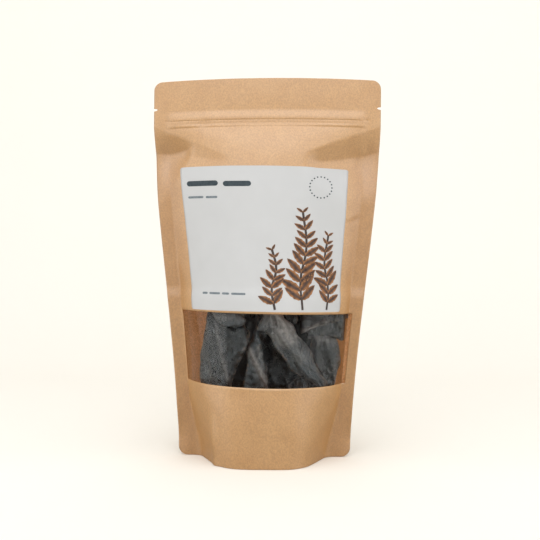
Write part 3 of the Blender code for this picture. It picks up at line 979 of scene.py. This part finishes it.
def label_point(s, t):
    inset = round_in(np.minimum(t, LABEL[2] - LABEL[1] - t), LABEL_ROUND)
    return on_label(s * (1 - inset / (LABEL[0] / 2)), t, 0.0)


label_rows = round_ends(0.0, LABEL[2] - LABEL[1], LABEL_ROUND, LABEL_PITCH, 7)
label_columns = spread(-LABEL[0] / 2, LABEL[0] / 2, LABEL_PITCH)
label = bent_grid("label_paper", label_columns, label_rows, label_point, label_white, LABEL_PAPER)
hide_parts("front_label")
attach(label, "root")

# %% [markdown]
# The print is a thin layer of ink. Each printed shape is drawn flat in label coordinates and then bent
# over the label, a hair above it. Plain bars stand where a pack has its words and a ring of dots stands
# where it has a round mark. The bars are grids whose ends are rounded by the circle's formula.

# %% Ink and plain bars
INK_ABOVE = LABEL_PAPER / 2 + 0.00003
INK_PITCH = 0.0010


def ink(name, dark, pale):
    material, tree, shader = new_finish(name, 0.55, Specular_IOR_Level=0.35)
    tone = ramp(tree, grain(tree, 700, 3), (0.38, dark), (0.62, pale))
    tree.links.new(tone, shader.inputs["Base Color"])
    return material


slate_ink = ink("slate_ink", (0.026, 0.040, 0.050), (0.040, 0.058, 0.068))
grey_ink = ink("grey_ink", (0.13, 0.16, 0.18), (0.18, 0.21, 0.23))


def onto_label(mesh, above=INK_ABOVE):
    """Bends a mesh that is drawn flat, x across the label and y up it, over the label."""
    flat = np.empty(3 * len(mesh.vertices))
    mesh.vertices.foreach_get("co", flat)
    flat = flat.reshape(-1, 3)
    mesh.vertices.foreach_set("co", on_label(flat[:, 0], flat[:, 1], above + flat[:, 2]).ravel())
    mesh.update()


def bar_mesh(bm, start, end, middle, height):
    radius = height / 2
    lines = []
    for x in round_ends(start, end, radius, INK_PITCH, 6):
        half = radius - round_in(min(x - start, end - x), radius) + 1e-6
        lines.append([bm.verts.new((x, middle + half * y, 0.0)) for y in (-1.0, -0.5, 0.0, 0.5, 1.0)])
    for left, right in zip(lines, lines[1:]):
        for k in range(4):
            bm.faces.new((left[k], right[k], right[k + 1], left[k + 1]))


def print_bars(name, bars, material):
    bm = bmesh.new()
    for start, end, middle, height in bars:
        bar_mesh(bm, start * MM, end * MM, middle * MM, height * MM)
    mesh = end_mesh(name, bm)
    onto_label(mesh)
    piece = add_piece(name, mesh, material)
    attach(piece, "root")
    print(name, len(bars), "bars")


# Each bar has its left and right end, its middle height and its thickness, in mm on the label.
TITLE_BARS = [(-43.2, -24.6, 72.6, 3.1), (-21.8, -6.2, 72.2, 3.1)]
SMALL_BARS = [(-43.0, -33.4, 64.6, 1.3), (-32.0, -25.2, 64.5, 1.3), (-37.6, -33.8, 9.6, 1.2),
              (-32.6, -25.4, 9.6, 1.2), (-24.2, -19.8, 9.6, 1.2), (-18.6, -10.4, 9.6, 1.2)]
print_bars("title_bars", TITLE_BARS, slate_ink)
print_bars("small_bars", SMALL_BARS, grey_ink)

# %% [markdown]
# A ring of dots and leafy sprigs repeat one small shape along a line, which is what Geometry Nodes are
# for. The tree resamples a line, stands a leaf on each point, turned to the line's direction, and then
# realizes the copies, because only real faces can be bent over the label.

# %% Helpers for node trees
def maths(tree, operation, a, b=0.0):
    return node(tree, "ShaderNodeMath", {0: a, 1: b}, operation=operation).outputs[0]


def times(tree, product, *factors):
    for factor in factors:
        product = maths(tree, "MULTIPLY", product, factor)
    return product


def new_tree(name, inputs):
    tree = bpy.data.node_groups.new(name, "GeometryNodeTree")
    tree.interface.new_socket("Geometry", in_out="INPUT", socket_type="NodeSocketGeometry")
    for title, kind in inputs:
        tree.interface.new_socket(title, in_out="INPUT", socket_type=kind)
    tree.interface.new_socket("Geometry", in_out="OUTPUT", socket_type="NodeSocketGeometry")
    return tree, tree.nodes.new("NodeGroupInput"), tree.nodes.new("NodeGroupOutput")


def end_tree(tree, parts, material, result):
    """Joins the parts, makes real faces of the copies, gives them their ink and sends them out."""
    together = node(tree, "GeometryNodeJoinGeometry")
    for part in parts:
        tree.links.new(part, together.inputs[0])
    real = node(tree, "GeometryNodeRealizeInstances", {"Geometry": together.outputs[0]})
    inked = node(tree, "GeometryNodeSetMaterial", {"Geometry": real.outputs[0], "Material": material})
    tree.links.new(inked.outputs[0], result.inputs[0])


def run_tree(tree, source, name, values):
    """Runs a tree on an object, with its inputs set by name, and returns the plain mesh."""
    step = source.modifiers.new("Pattern", "NODES")
    step.node_group = tree
    for item in tree.interface.items_tree:
        if item.in_out == "INPUT" and item.name in values:
            step[item.identifier] = values[item.name]
    seen = source.evaluated_get(bpy.context.evaluated_depsgraph_get())
    mesh = bpy.data.meshes.new_from_object(seen)
    mesh.name = name
    bpy.data.objects.remove(source)
    return mesh


def line_object(name, points):
    curve = bpy.data.curves.new(name, "CURVE")
    curve.dimensions = "3D"
    spline = curve.splines.new("BEZIER")
    spline.bezier_points.add(len(points) - 1)
    for knot, (x, y) in zip(spline.bezier_points, points):
        knot.co = (x * MM, y * MM, 0.0)
        knot.handle_left_type = knot.handle_right_type = "AUTO"
    return add_piece(name, curve)


# %% [markdown]
# A sprig is a tapering stem with pairs of leaves that shrink towards its tip. Each leaf is a small grid
# squeezed into a lobed oval, whose points store how far they are from the rib, for the ink to read.

# %% Leaf and sprig tree
LEAF_GRID = {"Size X": 1.0, "Size Y": 1.0, "Vertices X": 10, "Vertices Y": 7}
LEAF_ANGLE = 0.86
LEAF_JITTER = 0.16
LEAF_SIZES = {"Min": 0.82, "Max": 1.12}
LEAF_FULL = 1.9
BLUNT_POWER = 0.62
TIP_POWER = 0.85
LOBES = 24.0
LOBE_DEPTH = 0.10
LEAFY_PART = {"Start": 0.10, "End": 0.985}
SHRINK_POWER = 1.6
SHRINK = 0.62
STEM_POINTS = 60
STEM_WIDTH = 1.3
STEM_TAPER = 0.75


def leaf_nodes(tree, length, width):
    """A pointed oval leaf that runs along X from the origin and stores the distance from its rib."""
    grid = node(tree, "GeometryNodeMeshGrid", LEAF_GRID)
    place = node(tree, "ShaderNodeSeparateXYZ", {0: node(tree, "GeometryNodeInputPosition").outputs[0]})
    along = maths(tree, "ADD", place.outputs["X"], 0.5)
    left_over = maths(tree, "SUBTRACT", 1.0, along)
    blunt = maths(tree, "POWER", maths(tree, "MAXIMUM", along, 0.0), BLUNT_POWER)
    tip = maths(tree, "POWER", maths(tree, "MAXIMUM", left_over, 0.0), TIP_POWER)
    wave = maths(tree, "SINE", times(tree, along, LOBES))
    lobes = maths(tree, "ADD", 1.0, times(tree, wave, LOBE_DEPTH))
    half = times(tree, blunt, tip, LEAF_FULL, lobes, width)
    at = {"X": times(tree, along, length), "Y": times(tree, place.outputs["Y"], half)}
    rib = maths(tree, "ABSOLUTE", times(tree, place.outputs["Y"], 2.0))
    marks = {"Geometry": grid.outputs["Mesh"], "Name": "rib", "Value": rib}
    marked = node(tree, "GeometryNodeStoreNamedAttribute", marks).outputs[0]
    moves = {"Geometry": marked, "Position": node(tree, "ShaderNodeCombineXYZ", at).outputs[0]}
    return node(tree, "GeometryNodeSetPosition", moves).outputs[0]


def stem_nodes(tree, line, width, share):
    """A flat ribbon along the line, which tapers upwards."""
    fine = node(tree, "GeometryNodeResampleCurve", {"Curve": line, "Count": STEM_POINTS}).outputs[0]
    slim = maths(tree, "SUBTRACT", 1.0, times(tree, share, STEM_TAPER))
    taper = node(tree, "GeometryNodeSetCurveRadius", {"Curve": fine, "Radius": slim}).outputs[0]
    half = times(tree, width, 0.5)
    start = node(tree, "ShaderNodeCombineXYZ", {"X": times(tree, half, -1.0)}).outputs[0]
    end = node(tree, "ShaderNodeCombineXYZ", {"X": half}).outputs[0]
    profile = node(tree, "GeometryNodeCurvePrimitiveLine", {"Start": start, "End": end}).outputs[0]
    return node(tree, "GeometryNodeCurveToMesh", {"Curve": taper, "Profile Curve": profile}).outputs[0]


def sprig_tree():
    tree, given, result = new_tree("sprig_print", [
        ("Leaf Pairs", "NodeSocketInt"), ("Leaf Length", "NodeSocketFloat"),
        ("Leaf Width", "NodeSocketFloat"), ("Leaf Angle", "NodeSocketFloat"),
        ("Stem Width", "NodeSocketFloat"), ("Seed", "NodeSocketInt"), ("Ink", "NodeSocketMaterial")])
    inputs = given.outputs
    leafy = node(tree, "GeometryNodeTrimCurve", {"Curve": inputs["Geometry"], **LEAFY_PART})
    pairs = {"Curve": leafy.outputs[0], "Count": inputs["Leaf Pairs"]}
    points = node(tree, "GeometryNodeResampleCurve", pairs).outputs[0]
    leaf = leaf_nodes(tree, inputs["Leaf Length"], inputs["Leaf Width"])
    tangent = node(tree, "GeometryNodeInputTangent").outputs[0]
    ahead = node(tree, "FunctionNodeAlignRotationToVector", {"Vector": tangent}, axis="X").outputs[0]
    share = node(tree, "GeometryNodeSplineParameter").outputs["Factor"]
    smaller = times(tree, maths(tree, "POWER", share, SHRINK_POWER), SHRINK)
    shrink = maths(tree, "SUBTRACT", 1.0, smaller)
    parts = []
    for side in (1.0, -1.0):
        limits = {"Min": -LEAF_JITTER, "Max": LEAF_JITTER, "Seed": inputs["Seed"]}
        jitter = node(tree, "FunctionNodeRandomValue", limits).outputs[1]
        angle = maths(tree, "ADD", times(tree, inputs["Leaf Angle"], side), jitter)
        twist = node(tree, "ShaderNodeCombineXYZ", {"Z": angle}).outputs[0]
        turn = node(tree, "FunctionNodeEulerToRotation", {0: twist}).outputs[0]
        aimed = node(tree, "FunctionNodeRotateRotation", {"Rotation": ahead, "Rotate By": turn},
                     rotation_space="LOCAL").outputs[0]
        vary = node(tree, "FunctionNodeRandomValue", {**LEAF_SIZES, "Seed": inputs["Seed"]}).outputs[1]
        copies = {"Points": points, "Instance": leaf, "Rotation": aimed, "Scale": times(tree, shrink, vary)}
        parts.append(node(tree, "GeometryNodeInstanceOnPoints", copies).outputs[0])
    parts.append(stem_nodes(tree, inputs["Geometry"], inputs["Stem Width"], share))
    end_tree(tree, parts, inputs["Ink"], result)
    return tree


# %% [markdown]
# Three sprigs stand at the lower right of the label. The ink runs from a dark rib to an orange margin,
# with a mottle like the skin of a dried plant.

# %% Sprigs on the label
# Each sprig has its stem's points in mm across and up the label, its pairs of leaves, their length and
# width in mm, and its seed.
SPRIGS = [
    (((21.0, 1.2), (20.2, 18.0), (23.5, 36.0), (21.5, 57.0)), 11, 12.0, 6.4, 5),
    (((36.5, 1.2), (37.4, 14.0), (34.6, 27.0), (36.6, 44.0)), 9, 10.0, 5.6, 8),
    (((5.5, 1.2), (4.0, 12.0), (6.6, 24.0), (4.4, 35.0)), 8, 9.0, 5.0, 12),
]


def leaf_ink():
    material, tree, shader = new_finish("leaf_ink", 0.5, Specular_IOR_Level=0.35)
    body = ramp(tree, kept(tree, "rib"), (0.05, (0.055, 0.040, 0.036)), (0.45, (0.16, 0.070, 0.032)),
                (0.85, (0.36, 0.165, 0.060)), (1.0, (0.24, 0.10, 0.040)))
    mottle = ramp(tree, grain(tree, 520, 4), (0.32, (0.45, 0.45, 0.50)), (0.62, (1.15, 1.12, 1.05)))
    tree.links.new(multiply(tree, body, mottle), shader.inputs["Base Color"])
    return material


leaf_print = leaf_ink()
sprigs = sprig_tree()
for number, (stem_points, pairs, length, width, seed) in enumerate(SPRIGS, start=1):
    stem = line_object(f"stem_line_{number}", stem_points)
    mesh = run_tree(sprigs, stem, f"sprig_{number}", {
        "Leaf Pairs": pairs, "Leaf Length": length * MM, "Leaf Width": width * MM,
        "Leaf Angle": LEAF_ANGLE, "Stem Width": STEM_WIDTH * MM, "Seed": seed, "Ink": leaf_print})
    onto_label(mesh, INK_ABOVE + 0.00001 * number)
    piece = add_piece(f"sprig_{number}", mesh)
    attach(piece, "root")
    print(piece.name, len(mesh.polygons), "faces")


# %% [markdown]
# The round mark at the top right is a plain ring of dots, set along a circle by a second small tree.

# %% Ring of dots
RING_MIDDLE = (31.5, 71.0)
RING_RADIUS = 6.2
RING_KNOTS = 8
DOT_COUNT = 20
DOT_SIZE = 0.9
DOT_CORNERS = 12


def ring_tree():
    tree, given, result = new_tree("dot_ring", [("Dots", "NodeSocketInt"), ("Dot Size", "NodeSocketFloat"),
                                                ("Ink", "NodeSocketMaterial")])
    ring = {"Curve": given.outputs["Geometry"], "Count": given.outputs["Dots"]}
    points = node(tree, "GeometryNodeResampleCurve", ring).outputs[0]
    circle = {"Vertices": DOT_CORNERS, "Radius": times(tree, given.outputs["Dot Size"], 0.5)}
    dot = node(tree, "GeometryNodeMeshCircle", circle, fill_type="NGON").outputs[0]
    copies = node(tree, "GeometryNodeInstanceOnPoints", {"Points": points, "Instance": dot}).outputs[0]
    end_tree(tree, [copies], given.outputs["Ink"], result)
    return tree


ring_angles = np.linspace(0, 2 * math.pi, RING_KNOTS + 1)[:-1]
ring_points = [(RING_MIDDLE[0] + RING_RADIUS * math.cos(a), RING_MIDDLE[1] + RING_RADIUS * math.sin(a))
               for a in ring_angles]
ring_line = line_object("ring_line", ring_points)
ring_line.data.splines[0].use_cyclic_u = True
ring_mesh = run_tree(ring_tree(), ring_line, "dot_ring",
                     {"Dots": DOT_COUNT, "Dot Size": DOT_SIZE * MM, "Ink": slate_ink})
onto_label(ring_mesh)
ring = add_piece("dot_ring", ring_mesh)
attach(ring, "root")
print("dot ring", len(ring_mesh.polygons), "dots")

# %% [markdown]
# The zip strips are hidden between the panels, but they get their own milky plastic all the same: they
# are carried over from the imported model, so only their finish is made here.

# %% Zip strips
milky, milky_tree, milky_shader = new_finish("milky_zip_plastic", 0.42, Specular_IOR_Level=0.45)
milk = ramp(milky_tree, grain(milky_tree, 160, 3), (0.35, (0.72, 0.69, 0.62)), (0.65, (0.80, 0.78, 0.72)))
milky_tree.links.new(milk, milky_shader.inputs["Base Color"])
bump(milky_tree, milky_shader, (grain(milky_tree, 1200, 2, stretch=(0.08, 1.0, 1.0)), 0.00003))
for name in ("zip_rib", "zip_track"):
    strip = bpy.data.objects[name]
    for slot in strip.material_slots:
        slot.material = milky
    print(name, "carries", strip.material_slots[0].material.name)

# %% [markdown]
# The camera stands where the photo's perspective puts it: 43 cm in front of the pouch, a little to the
# right, at half the pouch's height. Broad softboxes light it from both sides, from above and from high
# in front, which gives the paper its pale gloss towards the top. One more light keeps the backdrop pale.

# %% Studio
CAMERA_AWAY = 0.430
CAMERA_HEIGHT = 0.1040
CAMERA_SIDE = 0.0021
CAMERA_YAW = math.radians(2.737)
CAMERA_PITCH = math.radians(0.249)
CAMERA_ROLL = math.radians(0.18)
FOCAL_PIXELS = 751.0
PICTURE_PIXELS = 540.0
SENSOR = 36.0
AIR_COLOUR = (1.0, 0.985, 0.95, 1.0)
AIR_STRENGTH = 0.20


def pose(across_it, up, back, place):
    """Where a thing stands whose own X, Y and Z axes run along the first three directions."""
    rows = [list(row) for row in zip(across_it, up, back, place)]
    return Matrix(rows + [[0.0, 0.0, 0.0, 1.0]])


camera_data = bpy.data.cameras.new("studio_camera")
camera_data.sensor_width = SENSOR
camera_data.lens = FOCAL_PIXELS / PICTURE_PIXELS * SENSOR
camera_data.clip_start = 0.01
camera = add_piece("studio_camera", camera_data)
forward = np.array([-math.sin(CAMERA_YAW) * math.cos(CAMERA_PITCH),
                    math.cos(CAMERA_YAW) * math.cos(CAMERA_PITCH), math.sin(CAMERA_PITCH)])
right = np.array([math.cos(CAMERA_YAW), math.sin(CAMERA_YAW), 0.0])
up = np.cross(right, forward)
rolled_right = math.cos(CAMERA_ROLL) * right + math.sin(CAMERA_ROLL) * up
rolled_up = math.cos(CAMERA_ROLL) * up - math.sin(CAMERA_ROLL) * right
camera_place = (CAMERA_AWAY * math.sin(CAMERA_YAW) + CAMERA_SIDE, -CAMERA_AWAY * math.cos(CAMERA_YAW),
                CAMERA_HEIGHT)
camera.matrix_world = pose(rolled_right, rolled_up, -forward, camera_place)
bpy.context.scene.camera = camera


def softbox(name, place, aim, size, watts):
    light = bpy.data.lights.new(name, "AREA")
    light.shape = "RECTANGLE"
    light.size, light.size_y = size
    light.energy = watts
    lamp = add_piece(name, light)
    away = np.array(place) - np.array(aim)
    away = away / np.linalg.norm(away)
    side = np.cross((0.0, 0.0, 1.0), away)
    side = side / np.linalg.norm(side)
    lamp.matrix_world = pose(side, np.cross(away, side), away, place)


AIM = (0.0, 0.0, 0.11)
BACKDROP = (0.0, 0.75, 0.30)
# Each light has its name, its place, what it points at, its size in metres and its power in watts.
SOFTBOXES = [
    ("left_softbox", (-1.15, -0.42, 0.45), AIM, (1.1, 1.4), 6.4),
    ("right_softbox", (1.18, -0.40, 0.45), AIM, (1.1, 1.4), 6.8),
    ("top_softbox", (0.0, -0.50, 1.15), AIM, (1.5, 1.2), 7.6),
    ("front_high_softbox", (0.0, -1.00, 0.69), AIM, (1.5, 0.85), 6.1),
    ("backdrop_light", (0.0, 0.20, 1.40), BACKDROP, (1.6, 0.6), 2.9),
]
for settings in SOFTBOXES:
    softbox(*settings)

world = bpy.data.worlds.new("studio_air")
world.use_nodes = True
air = world.node_tree.nodes["Background"]
air.inputs["Color"].default_value = AIR_COLOUR
air.inputs["Strength"].default_value = AIR_STRENGTH
bpy.context.scene.world = world
bpy.context.scene.view_settings.view_transform = "Standard"

# %% [markdown]
# The pouch stands on a cream paper sweep that curves up behind it. The sweep stays out of reflections,
# because the photo shows no bright floor in the gloss of the paper that faces downwards.

# %% Floor and backdrop
sweep_finish = new_finish("studio_sweep_paper", 0.9, Specular_IOR_Level=0.1,
                          Base_Color=(0.93, 0.902, 0.838, 1.0))[0]
SWEEP_HALF = 1.6
SWEEP_FRONT = -1.2
SWEEP_BACK = 0.75
SWEEP_CURVE = 0.45
SWEEP_TOP = 1.6


def sweep_point(column, row):
    y = np.where(row < 0, SWEEP_BACK - SWEEP_CURVE + row, SWEEP_BACK - SWEEP_CURVE)
    bend_angle = np.clip(row / SWEEP_CURVE, 0, math.pi / 2)
    y = y + SWEEP_CURVE * np.sin(bend_angle)
    z = SWEEP_CURVE * (1 - np.cos(bend_angle)) + np.maximum(row - SWEEP_CURVE * math.pi / 2, 0)
    return np.stack([column, y, z - 0.0002], axis=-1)


sweep_rows = joined([SWEEP_FRONT, 0.0], spread(0.0, SWEEP_CURVE * math.pi / 2, 0.03), [SWEEP_TOP])
sweep = bent_grid("studio_sweep", [-SWEEP_HALF, SWEEP_HALF], sweep_rows, sweep_point, sweep_finish)
sweep.visible_glossy = False
